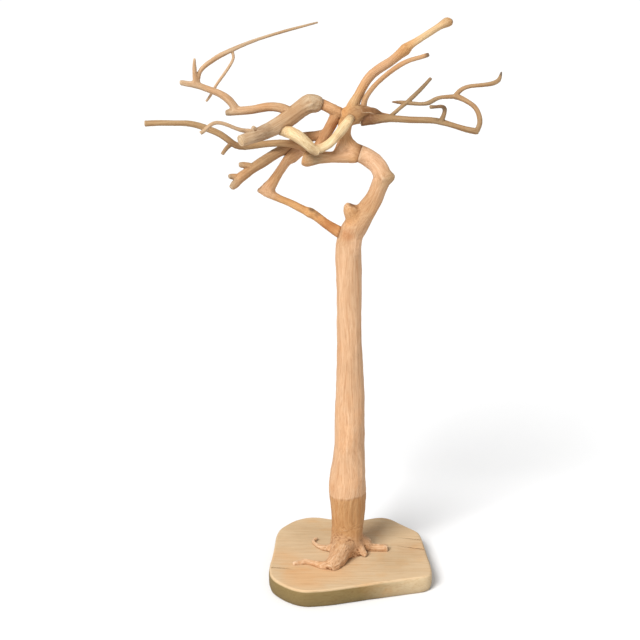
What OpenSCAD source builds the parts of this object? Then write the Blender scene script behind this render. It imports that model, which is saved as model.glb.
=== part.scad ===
// Java-wood bird tree: a sandblasted coffee-root stem on a live-edge slab,
// with grafted perches that are doweled, glued and screwed.
// Origin: floor level under the stem. +X right, +Y back, +Z up. Millimetres.

/* [Base slab] */
// width of the slab, left to right
base_w = 458; // [360:5:560]
// depth of the slab, front to back
base_d = 452; // [360:5:560]
// thickness of the slab
base_t = 52; // [42:1:80]

/* [Stem] */
// height of the fork above the floor
fork_h = 985; // [780:5:1200]
// thickness of the stem a hand's width above its roots
stem_foot_d = 102; // [85:1:125]
// thickness of the stem below the fork
stem_top_d = 68; // [56:1:84]

/* [Crown] */
// reach of the crown from tip to tip
crown_w = 920; // [740:5:1110]
// height of the crown above the fork
crown_h = 545; // [440:5:660]
// girth of every crown limb, against the natural one
crown_girth = 1; // [0.85:0.01:1.2]

/* [Joinery] */
// gap that the glue fills where two limbs are coped together
glue_gap = 0.15; // [0.05:0.05:0.5]
// diameter of the dowels in the two fork joints
fork_dowel_d = 10; // [8:0.5:12]
// length of the dowels in the two fork joints
fork_dowel_l = 76; // [50:1:90]
// diameter of the dowels in the limb joints
limb_dowel_d = 8; // [6:0.5:9]
// length of the dowels in the limb joints
limb_dowel_l = 36; // [24:1:40]
// diameter of the pins in the twig joints
twig_pin_d = 4; // [3:0.5:5]
// length of the pins in the twig joints
twig_pin_l = 22; // [14:1:26]
// gap round a dowel or a pin, and past each of its ends
dowel_gap = 0.1; // [0.05:0.05:0.3]

/* [Graft screws] */
// shank diameter of the screws that clamp the fork joints
screw_d = 3.5; // [3:0.5:4.5]
// head diameter of those screws
screw_head_d = 7; // [6:0.5:8]
// length of those screws, head included
screw_l = 45; // [35:1:50]
// distance of each screw's head from the middle of its limb
screw_head_out = 5; // [3:0.5:7]
// wood left between each of those screws and the dowel beside it
screw_wall = 1.8; // [1:0.1:3]

/* [Base hardware] */
// shank diameter of the lag bolt under the stem
bolt_d = 12; // [10:0.5:16]
// length of the lag bolt under its head
bolt_l = 130; // [100:1:160]
// width across the flats of the lag bolt's head
bolt_head_w = 19; // [16:0.5:24]
// height of the lag bolt's head
bolt_head_h = 8; // [6:0.5:10]
// diameter of the washer under the head
washer_d = 38; // [30:1:44]
// thickness of the washer
washer_t = 3; // [2:0.5:4]
// shank diameter of the two screws that stop the stem turning
base_screw_d = 6; // [5:0.5:8]
// head diameter of those screws
base_screw_head_d = 12; // [10:0.5:16]
// length of those screws, head included
base_screw_l = 90; // [75:1:110]
// wood left between the bolt's pocket and each of those screws
pocket_wall = 4; // [2:0.5:8]
// depth of the pocket that hides the bolt's head
pocket_depth = 16; // [13:0.5:20]
// clearance of bolt and screws in the slab's holes
hole_gap = 0.5; // [0.2:0.1:1]

/* [Hidden] */

slab_color = [0.80, 0.68, 0.50];
stem_color = [0.82, 0.66, 0.47];
limb_color = [0.80, 0.60, 0.38];
grey_color = [0.62, 0.56, 0.48];
pale_color = [0.88, 0.78, 0.58];
dowel_color = [0.85, 0.72, 0.50];
steel_color = [0.70, 0.71, 0.73];
filler_color = [0.55, 0.50, 0.44];

round_fn = 48;
stem_sides = 18;
limb_sides = 12;
twig_sides = 8;
// how far a limb's skin swells and dips, as a share of its radius
lump = 0.07;

// The crown's points are chosen from the fork, at these two sizes.
natural_crown_w = 920;
natural_crown_h = 545;
spread = crown_w / natural_crown_w;
rise = crown_h / natural_crown_h;

// ---------- routes: [x, y, height, thickness], chosen by hand ----------

function crown_points(list) = [
    for (p = list)
        [p.x * spread, p.y * spread, fork_h + p.z * rise, p[3] * crown_girth]
];

// The stem stands on the slab and its thickness runs from foot to fork.
stem_h = fork_h - base_t;
stem_drop = stem_foot_d - stem_top_d;
function stem_point(x, y, up, swell) =
    [x, y, base_t + up * stem_h, stem_top_d + swell * stem_drop];
stem_route = [
    [0, 0, base_t - 20, stem_foot_d + 4],
    stem_point(1, 0, 0.03, 0.80),
    stem_point(2, 0, 0.09, 0.78),
    stem_point(2, 0, 0.18, 0.98),
    stem_point(3, 2, 0.27, 0.86),
    stem_point(5, 3, 0.35, 0.64),
    stem_point(7, 3, 0.43, 0.42),
    stem_point(5, 1, 0.56, 0.20),
    stem_point(4, -1, 0.68, 0.10),
    stem_point(2, -1, 0.80, 0.00),
    stem_point(-1, 0, 0.92, 0.00),
    stem_point(1, 0, 0.975, 0.05),
    stem_point(10, 0, 1.00, -0.35),
    stem_point(14, 0, 1.015, -0.90)
];
right_limb_route = concat(
    [stem_point(-1, 0, 0.94, 0.00)],
    crown_points([
        [4, 0, -8, 70],
        [14, -1, 10, 69],
        [32, -2, 38, 60],
        [49, -3, 65, 52],
        [65, -4, 91, 47],
        [75, -5, 114, 47],
        [84, -6, 135, 50],
        [88, -6, 150, 46]
    ])
);
heel_route = crown_points([[84, -8, 143, 50], [100, -9, 146, 42], [112, -9, 147, 28], [121, -9, 147, 12]]);
crook_route = crown_points([
    [88, -6, 147, 50], [74, -5, 173, 46], [54, -3, 192, 47], [40, -1, 201, 48], [26, 0, 206, 48]
]);
stub_route = crown_points([
    [14, -8, 14, 42], [7, -13, 42, 37], [2, -16, 60, 41], [3, -16, 72, 37], [5, -16, 79, 24]
]);

riser_route = crown_points([
    [34, 0, 204, 40], [26, 0, 207, 46], [8, 0, 216, 43], [-8, 0, 235, 39], [-15, 0, 258, 37],
    [-11, 0, 282, 40], [-2, 0, 304, 42]
]);
bar_route = crown_points([
    [20, -2, 203, 40], [6, -6, 201, 36], [-14, -10, 200, 32], [-50, -13, 199, 31],
    [-80, -14, 199, 36], [-98, -16, 197, 41], [-114, -17, 196, 40], [-120, -16, 197, 32]
]);
// fills the crotch between the riser and the bar
web_route = crown_points([[-30, -8, 206, 28], [-20, -5, 224, 33], [-12, -2, 246, 33]]);
hub_route = crown_points([
    [-22, 0, 302, 36], [4, 0, 305, 52], [34, 0, 308, 46], [56, -2, 309, 33], [80, -8, 302, 23],
    [104, -18, 301, 15], [120, -26, 300, 8]
]);
upper_right_route = crown_points([
    [-2, 2, 300, 36], [6, 5, 326, 32], [22, 12, 354, 26], [40, 20, 386, 24],
    [58, 28, 408, 24], [82, 36, 424, 25], [106, 42, 438, 25], [128, 46, 456, 26],
    [143, 50, 468, 30], [155, 52, 478, 22], [172, 55, 489, 19], [206, 60, 510, 18],
    [232, 64, 526, 19], [249, 66, 535, 25], [260, 66, 538, 20], [266, 66, 540, 8]
]);

left_limb_route = crown_points([
    [-4, -2, -14, 36], [-20, 0, -4, 33], [-38, 2, 6, 29], [-64, 6, 23, 25],
    [-88, 12, 41, 26], [-104, 14, 49, 28], [-116, 16, 54, 23], [-132, 18, 62, 21],
    [-157, 22, 74, 20], [-183, 25, 84, 22], [-204, 28, 94, 28], [-220, 30, 104, 34]
]);
left_heel_route = crown_points([[-204, 30, 104, 37], [-228, 31, 106, 28], [-246, 31, 106, 11]]);
left_upper_route = crown_points([
    [-220, 31, 104, 37], [-208, 33, 120, 34], [-193, 38, 142, 28], [-176, 44, 166, 25],
    [-165, 48, 182, 27], [-153, 52, 192, 34], [-135, 58, 207, 35], [-118, 62, 218, 32],
    [-108, 58, 236, 26]
]);

y_limb_route = crown_points([[0, 3, 300, 30], [-26, 5, 310, 31], [-51, 9, 322, 29], [-74, 12, 332, 29]]);
y_lower_route = crown_points([
    [-22, 5, 312, 30], [-33, 7, 308, 31], [-43, 11, 290, 29], [-56, 18, 264, 29],
    [-72, 25, 237, 28], [-90, 20, 214, 26], [-106, 8, 201, 24]
]);
back_limb_route = crown_points([
    [-60, 20, 258, 24], [-85, 34, 249, 26], [-116, 50, 243, 29], [-142, 62, 232, 30],
    [-156, 66, 222, 28]
]);

grey_route = crown_points([
    [-69, 12, 329, 26], [-76, 12, 331, 38], [-86, 9, 333, 46], [-104, 4, 333, 50], [-128, -5, 320, 44],
    [-166, -30, 293, 43], [-204, -55, 272, 38], [-222, -70, 265, 39], [-240, -85, 260, 33],
    [-275, -110, 250, 29]
]);
grey_nub_route = crown_points([[-238, -82, 264, 20], [-243, -86, 279, 14], [-245, -87, 284, 8]]);
perch_route = crown_points([
    [-146, -20, 310, 26], [-162, -18, 319, 25], [-182, -12, 325, 23], [-212, -5, 326, 23],
    [-249, 0, 319, 23], [-275, 5, 316, 24], [-299, 8, 313, 21], [-314, 8, 311, 18],
    [-322, 8, 310, 14]
]);
perch_tip_route = crown_points([
    [-290, 8, 315, 21], [-311, 10, 342, 21], [-332, 12, 357, 19], [-352, 15, 365, 18],
    [-373, 18, 372, 18], [-396, 20, 380, 18], [-417, 22, 383, 15], [-434, 24, 386, 15],
    [-440, 24, 386, 9]
]);
spike_route = crown_points([
    [-396, 20, 377, 15], [-399, 20, 405, 14], [-399, 19, 430, 11], [-398, 18, 447, 6]
]);
whip_route = crown_points([
    [-394, 22, 380, 15], [-388, 28, 410, 13], [-374, 35, 427, 13], [-356, 40, 440, 13],
    [-333, 48, 454, 13], [-284, 60, 476, 11], [-233, 75, 495, 9], [-168, 90, 514, 8],
    [-129, 98, 524, 7], [-82, 110, 536, 5]
]);
whip_side_route = crown_points([
    [-306, 55, 468, 9], [-301, 55, 448, 8], [-310, 52, 429, 8], [-326, 48, 406, 8],
    [-347, 45, 378, 8], [-363, 42, 351, 8], [-374, 40, 337, 6]
]);

front_left_route = crown_points([
    [-206, -40, 270, 16], [-180, -42, 270, 25], [-150, -51, 265, 32], [-128, -55, 252, 33],
    [-110, -54, 236, 30], [-96, -50, 224, 27], [-80, -46, 220, 25]
]);
front_right_route = crown_points([
    [-94, -48, 222, 25], [-74, -44, 225, 24], [-54, -42, 236, 25], [-37, -40, 253, 25],
    [-21, -36, 273, 25], [-6, -30, 291, 23], [4, -22, 303, 20]
]);

long_branch_route = crown_points([
    [-90, -14, 200, 20], [-99, 8, 209, 24], [-116, 20, 219, 23], [-140, 26, 227, 22],
    [-182, 26, 231, 20], [-229, 22, 228, 18], [-273, 18, 223, 18], [-297, 18, 226, 18],
    [-314, 19, 238, 18], [-338, 22, 255, 18], [-367, 25, 267, 17], [-398, 28, 277, 16],
    [-427, 30, 282, 16], [-458, 34, 282, 15], [-498, 38, 282, 16], [-536, 40, 280, 16]
]);
long_spur_route = crown_points([[-305, 18, 233, 13], [-320, 12, 220, 12], [-332, 5, 204, 10]]);

left_twig_route = crown_points([
    [-214, -55, 267, 13], [-255, -44, 268, 13], [-280, -50, 272, 11], [-300, -55, 280, 10],
    [-319, -58, 288, 10], [-338, -61, 291, 10], [-354, -64, 285, 10], [-367, -66, 273, 12],
    [-379, -68, 264, 12]
]);

lower_left_route = crown_points([
    [-148, 66, 226, 26], [-157, 64, 219, 28], [-172, 56, 212, 28], [-198, 40, 200, 28],
    [-224, 24, 184, 28], [-250, 8, 169, 27], [-270, -6, 156, 27], [-290, -18, 143, 26], [-298, -21, 138, 20]
]);
lower_hook_route = crown_points([
    [-248, 6, 170, 20], [-266, 0, 176, 18], [-282, -5, 178, 15], [-288, -6, 178, 9]
]);
upper_prong_route = crown_points([[-284, -15, 146, 20], [-302, -21, 150, 17], [-313, -26, 151, 11]]);
lower_prong_route = crown_points([[-286, -17, 142, 22], [-300, -24, 128, 20], [-308, -28, 120, 12]]);

right_long_route = crown_points([
    [30, -6, 294, 30], [64, -16, 296, 28], [101, -28, 299, 21], [151, -44, 297, 17],
    [188, -54, 297, 16], [218, -60, 295, 16], [251, -65, 287, 15], [288, -70, 276, 15],
    [314, -75, 271, 16], [322, -76, 270, 12]
]);
right_arc_route = crown_points([
    [318, -75, 271, 15], [325, -70, 291, 14], [323, -62, 311, 13], [313, -55, 329, 13],
    [294, -45, 343, 13], [277, -35, 351, 14], [262, -30, 355, 15]
]);
arc_twig_route = crown_points([
    [270, -31, 354, 13], [233, -25, 352, 10], [216, -20, 346, 12], [201, -15, 337, 13],
    [179, -10, 334, 10], [134, 0, 337, 12], [106, 5, 338, 5]
]);
arc_tip_route = crown_points([
    [262, -30, 350, 14], [273, -30, 364, 13], [286, -31, 374, 12], [304, -35, 380, 11],
    [334, -40, 383, 11], [358, -44, 387, 12], [372, -45, 395, 12], [376, -45, 407, 8], [378, -45, 416, 4]
]);
hook_route = crown_points([
    [228, -62, 293, 15], [234, -70, 312, 13], [235, -75, 326, 12], [226, -80, 333, 12],
    [212, -85, 332, 11], [196, -90, 332, 11]
]);
straight_twig_route = crown_points([
    [97, -26, 300, 15], [110, -20, 310, 12], [146, -5, 338, 12], [180, 10, 368, 11],
    [209, 25, 397, 9]
]);

grey_twig_route = crown_points([
    [33, 0, 308, 18], [35, -2, 328, 16], [38, -5, 344, 15], [49, -11, 364, 14],
    [69, -20, 388, 13], [96, -30, 412, 13], [124, -40, 432, 13], [148, -48, 444, 12],
    [172, -56, 451, 12], [188, -60, 456, 12], [194, -61, 458, 9]
]);

// The roots lie on the slab, so their heights are above its top.
function root_points(list) = [for (p = list) [p.x, p.y, base_t + p.z, p[3]]];
root_routes = [
    root_points([
        [-2, -6, 38, 84], [-12, -40, 29, 66], [-26, -74, 17, 54], [-42, -100, 8, 44],
        [-51, -115, 3, 22]
    ]),
    root_points([
        [-46, -100, 8, 30], [-72, -98, 5, 22], [-94, -84, 4, 16], [-116, -75, 4, 16],
        [-136, -79, 3, 14], [-153, -83, 2, 8]
    ]),
    root_points([
        [-8, 0, 36, 70], [-36, -4, 14, 34], [-58, 2, 6, 17], [-76, 12, 5, 13],
        [-88, 28, 4, 11], [-95, 44, 4, 11], [-92, 56, 7, 10], [-84, 60, 9, 7]
    ]),
    root_points([
        [6, 0, 42, 74], [40, 2, 25, 44], [62, 2, 12, 28], [80, 1, 8, 21],
        [112, 0, 8, 21], [118, 0, 8, 18]
    ]),
    root_points([[10, 8, 46, 70], [44, 10, 26, 34], [60, 10, 18, 24], [66, 14, 8, 17], [69, 20, 2, 8]]),
    root_points([[8, -6, 34, 62], [34, -24, 20, 36], [48, -34, 9, 20], [54, -41, 3, 9]]),
    root_points([[0, 0, 46, 84], [-2, -28, 24, 62], [-6, -46, 12, 44], [-8, -58, 3, 22]])
];

// ---------- limb maker ----------

function unit(v) = v / norm(v);
function place(p) = [p.x, p.y, p.z];
function heading(a, b) = unit(place(b) - place(a));

// A Catmull-Rom curve through the route, with `cuts` rings to a stretch.
function before(list, i) = i > 0 ? list[i - 1] : 2 * list[0] - list[1];
function after(list, i) =
    i + 1 < len(list) ? list[i + 1] : 2 * list[len(list) - 1] - list[len(list) - 2];
function curve(a, b, c, d, t) =
    0.5 * (2 * b + (c - a) * t + (2 * a - 5 * b + 4 * c - d) * t * t
        + (3 * b - a - 3 * c + d) * t * t * t);
function smooth(list, cuts) = concat(
    [
        for (i = [0:len(list) - 2], k = [0:cuts - 1])
            curve(before(list, i), list[i], list[i + 1], after(list, i + 1), k / cuts)
    ],
    [list[len(list) - 1]]
);

// The skin's lumps turn slowly round the limb along its length.
function skin(angle, ring, seed) =
    1 + lump * 0.6 * sin(2 * angle + 37 * ring + 90 * seed)
      + lump * 0.4 * sin(3 * angle - 53 * ring + 140 * seed);

function ring_points(list, i, sides, across, seed, grow) =
    let (
        run = unit(place(after(list, i)) - place(before(list, i))),
        u = unit(cross(across, run)),
        v = cross(run, u),
        end = i == 0 ? -1 : i == len(list) - 1 ? 1 : 0,
        middle = place(list[i]) + end * grow * run
    )
    [
        for (k = [0:sides - 1])
            let (a = 360 * k / sides, r = list[i][3] / 2 * skin(a, i, seed) + grow)
            middle + r * (cos(a) * u + sin(a) * v)
    ];

module limb(route, seed, grow = 0, sides = limb_sides, cuts = 2, across = [0, 1, 0]) {
    list = smooth(route, cuts);
    rings = len(list);
    points = [for (i = [0:rings - 1]) each ring_points(list, i, sides, across, seed, grow)];
    walls = [
        for (i = [0:rings - 2], k = [0:sides - 1])
            let (n = (k + 1) % sides, a = i * sides, b = a + sides)
            each [[a + k, b + k, b + n], [a + k, b + n, a + n]]
    ];
    start_cap = [[for (k = [0:sides - 1]) k]];
    end_cap = [[for (k = [sides - 1:-1:0]) (rings - 1) * sides + k]];
    polyhedron(points, concat(start_cap, end_cap, walls), convexity = 6);
}

module twig(route, seed, grow = 0, cuts = 2) limb(route, seed, grow, twig_sides, cuts);

// Joins overlapping limbs into one skin before round holes are bored in it.
module one_skin() resize([0, 0, 0]) union() children();

// ---------- wood before it is bored; grow is the glue's gap ----------

module trunk_wood(grow = 0) {
    limb(stem_route, 1, grow, stem_sides, 3);
    limb(right_limb_route, 2, grow, stem_sides);
    limb(heel_route, 3, grow);
    limb(crook_route, 4, grow, stem_sides);
    limb(stub_route, 5, grow);
    for (i = [0:len(root_routes) - 1])
        limb(root_routes[i], 6 + i, grow, across = [0, 0, 1]);
}

module crown_stem_wood(grow = 0) {
    limb(riser_route, 11, grow);
    limb(bar_route, 12, grow);
    limb(web_route, 44, grow);
    limb(hub_route, 13, grow);
    limb(upper_right_route, 14, grow);
}

module left_fork_limb_wood(grow = 0) {
    limb(left_limb_route, 15, grow);
    limb(left_heel_route, 16, grow);
    limb(left_upper_route, 17, grow);
}

module y_limb_wood(grow = 0) {
    limb(y_limb_route, 18, grow);
    limb(y_lower_route, 19, grow);
    limb(back_limb_route, 20, grow);
}

module grey_branch_wood(grow = 0) {
    limb(grey_route, 21, grow);
    twig(grey_nub_route, 22, grow);
    limb(perch_route, 23, grow);
    limb(perch_tip_route, 24, grow);
    twig(spike_route, 25, grow);
    twig(whip_route, 26, grow);
    twig(whip_side_route, 27, grow);
}

module front_branch_wood(grow = 0) {
    limb(front_left_route, 28, grow);
    limb(front_right_route, 29, grow);
}

module lower_left_branch_wood(grow = 0) {
    limb(lower_left_route, 30, grow);
    twig(lower_hook_route, 31, grow);
    twig(upper_prong_route, 42, grow);
    twig(lower_prong_route, 43, grow);
}

module left_long_branch_wood(grow = 0) {
    limb(long_branch_route, 32, grow);
    twig(long_spur_route, 33, grow);
}

module right_long_branch_wood(grow = 0) {
    limb(right_long_route, 34, grow);
    twig(right_arc_route, 35, grow, 3);
    twig(arc_twig_route, 36, grow);
    twig(arc_tip_route, 37, grow);
    twig(hook_route, 38, grow, 3);
    twig(straight_twig_route, 39, grow);
}

module grey_twig_wood(grow = 0) twig(grey_twig_route, 40, grow);
module left_twig_wood(grow = 0) twig(left_twig_route, 41, grow);

// The slab's rim: [height, how far the edge is worn back].
slab_rim = [
    [0, 9], [4, 4], [base_t * 0.3, 0], [base_t * 0.75, 0], [base_t - 4, 2], [base_t, 7]
];
// The outline is chosen for this width and depth.
natural_base_w = 449;
natural_base_d = 444;
slab_outline = [
    [-215, -130], [-206, -160], [-181, -189], [-148, -217], [-118, -228],
    [-80, -224], [-28, -213], [48, -192], [125, -171], [183, -155], [224, -145],
    [232, -134], [231, -66], [227, -15], [223, 62], [216, 119], [192, 143],
    [169, 168], [141, 203], [117, 216], [90, 211], [60, 197], [8, 190], [-44, 203],
    [-81, 216], [-120, 215], [-158, 190], [-196, 140], [-206, 88], [-208, 18],
    [-211, -34], [-217, -93]
];

function rim_points(level) = [
    for (p = slab_outline)
        let (q = [p.x * base_w / natural_base_w, p.y * base_d / natural_base_d])
        [each q - level[1] * q / norm(q), level[0]]
];

module slab_wood() {
    count = len(slab_outline);
    levels = len(slab_rim);
    points = [for (level = slab_rim) each rim_points(level)];
    walls = [
        for (i = [0:levels - 2], k = [0:count - 1])
            let (n = (k + 1) % count, a = i * count, b = a + count)
            each [[a + k, b + k, b + n], [a + k, b + n, a + n]]
    ];
    underside = [[for (k = [0:count - 1]) k]];
    top = [[for (k = [count - 1:-1:0]) (levels - 1) * count + k]];
    polyhedron(points, concat(underside, top, walls), convexity = 6);
}

// ---------- dowels, screws and their holes ----------

// Turns +Z to point along `way`, at `from`.
module aim(from, way) {
    translate(from)
        rotate([0, acos(way.z / norm(way)), atan2(way.y, way.x)])
            children();
}

// A dowel is [middle, direction]: `deep` along a limb from point number `from`.
function dowel_in(route, deep, from = 0) =
    let (way = heading(route[from], route[from + 1]))
    [place(route[from]) + deep * way, way];

fork_dowel_places = [
    dowel_in(left_limb_route, stem_top_d / 2 + 6),
    dowel_in(riser_route, 8)
];
limb_dowel_places = [
    dowel_in(y_limb_route, 26),
    dowel_in(grey_route, 8),
    dowel_in(front_left_route, 34),
    dowel_in(lower_left_route, 10),
    dowel_in(long_branch_route, -12, 2),
    dowel_in(right_long_route, 26)
];
twig_pin_places = [
    dowel_in(grey_twig_route, 20),
    dowel_in(left_twig_route, 16)
];

module pegs(places, d, l, gap = 0) {
    for (p = places)
        aim(p[0], p[1])
            cylinder(h = l + 2 * gap, d = d + 2 * gap, center = true, $fn = round_fn);
}

// A graft screw runs back down its limb, beside the dowel: [head, direction].
function graft_screw(dowel, out) =
    let (
        way = dowel[1],
        up = unit(cross([0, 1, 0], way)),
        lean = unit(-way * cos(graft_lean) + up * sin(graft_lean))
    )
    [dowel[0] + out * way + [0, screw_side, 0] - screw_head_out * up, lean];
graft_lean = 24;
screw_side = fork_dowel_d / 2 + screw_wall + screw_d / 2;
graft_screw_places = [
    graft_screw(fork_dowel_places[0], 22),
    graft_screw(fork_dowel_places[1], 18)
];
screw_cone = (screw_head_d - screw_d) / 2;

module screw(d, head_d, cone, l) {
    cylinder(h = cone, d1 = head_d, d2 = d, $fn = round_fn);
    cylinder(h = l, d = d, $fn = round_fn);
}

module graft_screw_holes() {
    for (p = graft_screw_places)
        aim(p[0], p[1]) {
            screw(screw_d + 2 * dowel_gap, screw_head_d + 2 * dowel_gap, screw_cone, screw_l + dowel_gap);
            translate([0, 0, -plug_reach])
                cylinder(h = plug_reach, d = screw_head_d + 2 * dowel_gap, $fn = round_fn);
        }
}
// long enough to leave the limb from any head
plug_reach = 23;

// The lag bolt's washer seats on the roof of its pocket.
bolt_seat = pocket_depth - washer_t;
base_screw_out = washer_d / 2 + hole_gap + pocket_wall + base_screw_head_d / 2;
base_screw_cone = (base_screw_head_d - base_screw_d) / 2;
// how far a cut runs past the face that it opens through
mouth = 1;

module base_bolt_hole(gap) {
    translate([0, 0, bolt_seat]) cylinder(h = bolt_l + gap, d = bolt_d + 2 * gap, $fn = round_fn);
}

module base_screw_holes(gap) {
    for (side = [-1, 1])
        translate([side * base_screw_out, 0, 0]) {
            screw(base_screw_d + 2 * gap, base_screw_head_d + 2 * gap, base_screw_cone, base_screw_l + gap);
            translate([0, 0, -mouth]) cylinder(h = mouth, d = base_screw_head_d + 2 * gap, $fn = round_fn);
        }
}

module all_pegs() {
    fork_pegs(dowel_gap);
    limb_pegs(dowel_gap);
    twig_pegs(dowel_gap);
    graft_screw_holes();
}

module fork_pegs(gap = 0) pegs(fork_dowel_places, fork_dowel_d, fork_dowel_l, gap);
module limb_pegs(gap = 0) pegs(limb_dowel_places, limb_dowel_d, limb_dowel_l, gap);
module twig_pegs(gap = 0) pegs(twig_pin_places, twig_pin_d, twig_pin_l, gap);

// ---------- nodes ----------

module base_slab() color(slab_color) difference() {
    one_skin() slab_wood();
    translate([0, 0, -mouth])
        cylinder(h = pocket_depth + mouth, d = washer_d + 2 * hole_gap, $fn = round_fn);
    base_bolt_hole(hole_gap);
    base_screw_holes(hole_gap);
}

module trunk() color(stem_color) difference() {
    one_skin() difference() {
        trunk_wood();
        translate([-base_w, -base_d, 0]) cube([2 * base_w, 2 * base_d, base_t]);
    }
    all_pegs();
    base_bolt_hole(dowel_gap);
    base_screw_holes(dowel_gap);
}

module crown_stem() color(limb_color) difference() {
    one_skin() difference() {
        crown_stem_wood();
        trunk_wood(glue_gap);
    }
    all_pegs();
}

module left_fork_limb() color(limb_color) difference() {
    one_skin() difference() {
        left_fork_limb_wood();
        trunk_wood(glue_gap);
    }
    all_pegs();
}

module y_limb() color(limb_color) difference() {
    one_skin() difference() {
        y_limb_wood();
        crown_stem_wood(glue_gap);
        left_fork_limb_wood(glue_gap);
    }
    all_pegs();
}

module grey_branch() color(grey_color) difference() {
    one_skin() difference() {
        grey_branch_wood();
        y_limb_wood(glue_gap);
    }
    all_pegs();
}

module front_branch() color(pale_color) difference() {
    one_skin() difference() {
        front_branch_wood();
        crown_stem_wood(glue_gap);
        y_limb_wood(glue_gap);
        grey_branch_wood(glue_gap);
    }
    all_pegs();
}

module lower_left_branch() color(limb_color) difference() {
    one_skin() difference() {
        lower_left_branch_wood();
        y_limb_wood(glue_gap);
        left_fork_limb_wood(glue_gap);
    }
    all_pegs();
}

module left_long_branch() color(pale_color) difference() {
    one_skin() difference() {
        left_long_branch_wood();
        crown_stem_wood(glue_gap);
        y_limb_wood(glue_gap);
        left_fork_limb_wood(glue_gap);
        front_branch_wood(glue_gap);
        lower_left_branch_wood(glue_gap);
    }
    all_pegs();
}

module right_long_branch() color(limb_color) difference() {
    one_skin() difference() {
        right_long_branch_wood();
        crown_stem_wood(glue_gap);
    }
    all_pegs();
}

module grey_twig() color(grey_color) difference() {
    one_skin() difference() {
        grey_twig_wood();
        crown_stem_wood(glue_gap);
        right_long_branch_wood(glue_gap);
        front_branch_wood(glue_gap);
    }
    all_pegs();
}

module left_twig() color(grey_color) difference() {
    one_skin() difference() {
        left_twig_wood();
        grey_branch_wood(glue_gap);
    }
    all_pegs();
}

module fork_dowels() color(dowel_color) fork_pegs();
module limb_dowels() color(dowel_color) limb_pegs();
module twig_pins() color(dowel_color) twig_pegs();

module graft_screws() color(steel_color) {
    for (p = graft_screw_places)
        aim(p[0], p[1]) screw(screw_d, screw_head_d, screw_cone, screw_l);
}

// A plug fills its screw's hole from the head out to the limb's own skin.
module filler_plugs() color(filler_color) {
    filler_plug(0) left_fork_limb_wood();
    filler_plug(1) crown_stem_wood();
}

module filler_plug(i) {
    p = graft_screw_places[i];
    one_skin() intersection() {
        aim(p[0], p[1])
            translate([0, 0, -plug_reach]) cylinder(h = plug_reach, d = screw_head_d, $fn = round_fn);
        children();
    }
}

module lag_bolt() color(steel_color) {
    translate([0, 0, bolt_seat - bolt_head_h])
        cylinder(h = bolt_head_h, d = bolt_head_w / cos(30), $fn = 6);
    translate([0, 0, bolt_seat]) {
        cylinder(h = bolt_l - bolt_d, d = bolt_d, $fn = round_fn);
        translate([0, 0, bolt_l - bolt_d]) cylinder(h = bolt_d, d1 = bolt_d, d2 = 1, $fn = round_fn);
    }
}

module bolt_washer() color(steel_color) {
    translate([0, 0, bolt_seat]) difference() {
        cylinder(h = washer_t, d = washer_d, $fn = round_fn);
        translate([0, 0, -mouth])
            cylinder(h = washer_t + 2 * mouth, d = bolt_d + 2 * dowel_gap, $fn = round_fn);
    }
}

module base_screws() color(steel_color) {
    for (side = [-1, 1])
        translate([side * base_screw_out, 0, 0])
            screw(base_screw_d, base_screw_head_d, base_screw_cone, base_screw_l);
}

base_slab();
trunk();
crown_stem();
left_fork_limb();
y_limb();
grey_branch();
front_branch();
right_long_branch();
grey_twig();
left_long_branch();
left_twig();
lower_left_branch();
fork_dowels();
limb_dowels();
twig_pins();
graft_screws();
filler_plugs();
lag_bolt();
bolt_washer();
base_screws();
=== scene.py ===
"""Looks for the wooden bird tree: sandblasted limbs, a live-edge slab and steel fastenings."""

import math

import bmesh
import bpy
import numpy as np
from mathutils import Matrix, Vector
from mathutils.bvhtree import BVHTree


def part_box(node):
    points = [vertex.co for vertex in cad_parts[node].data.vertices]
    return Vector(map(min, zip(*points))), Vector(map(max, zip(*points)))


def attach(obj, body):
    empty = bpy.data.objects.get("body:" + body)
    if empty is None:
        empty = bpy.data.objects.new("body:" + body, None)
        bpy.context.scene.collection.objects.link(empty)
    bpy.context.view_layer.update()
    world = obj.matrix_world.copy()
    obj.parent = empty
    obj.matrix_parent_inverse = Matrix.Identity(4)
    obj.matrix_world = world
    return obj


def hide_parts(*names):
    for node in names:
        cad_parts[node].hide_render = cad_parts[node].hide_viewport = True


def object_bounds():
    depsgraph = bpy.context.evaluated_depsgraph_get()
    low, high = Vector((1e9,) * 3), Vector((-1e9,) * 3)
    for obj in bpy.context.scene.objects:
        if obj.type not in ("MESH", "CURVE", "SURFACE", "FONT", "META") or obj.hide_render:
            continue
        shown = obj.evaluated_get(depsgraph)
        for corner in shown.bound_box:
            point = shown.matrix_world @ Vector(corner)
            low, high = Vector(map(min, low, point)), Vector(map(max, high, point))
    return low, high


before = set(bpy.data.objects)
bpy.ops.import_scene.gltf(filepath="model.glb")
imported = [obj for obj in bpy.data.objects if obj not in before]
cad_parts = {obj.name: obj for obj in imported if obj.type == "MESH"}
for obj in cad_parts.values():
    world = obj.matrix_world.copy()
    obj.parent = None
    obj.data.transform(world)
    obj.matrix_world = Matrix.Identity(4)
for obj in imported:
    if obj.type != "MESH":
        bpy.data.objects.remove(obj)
cad_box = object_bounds()

MM = 0.001

# ---------- which pieces are cut to fit which ----------

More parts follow.
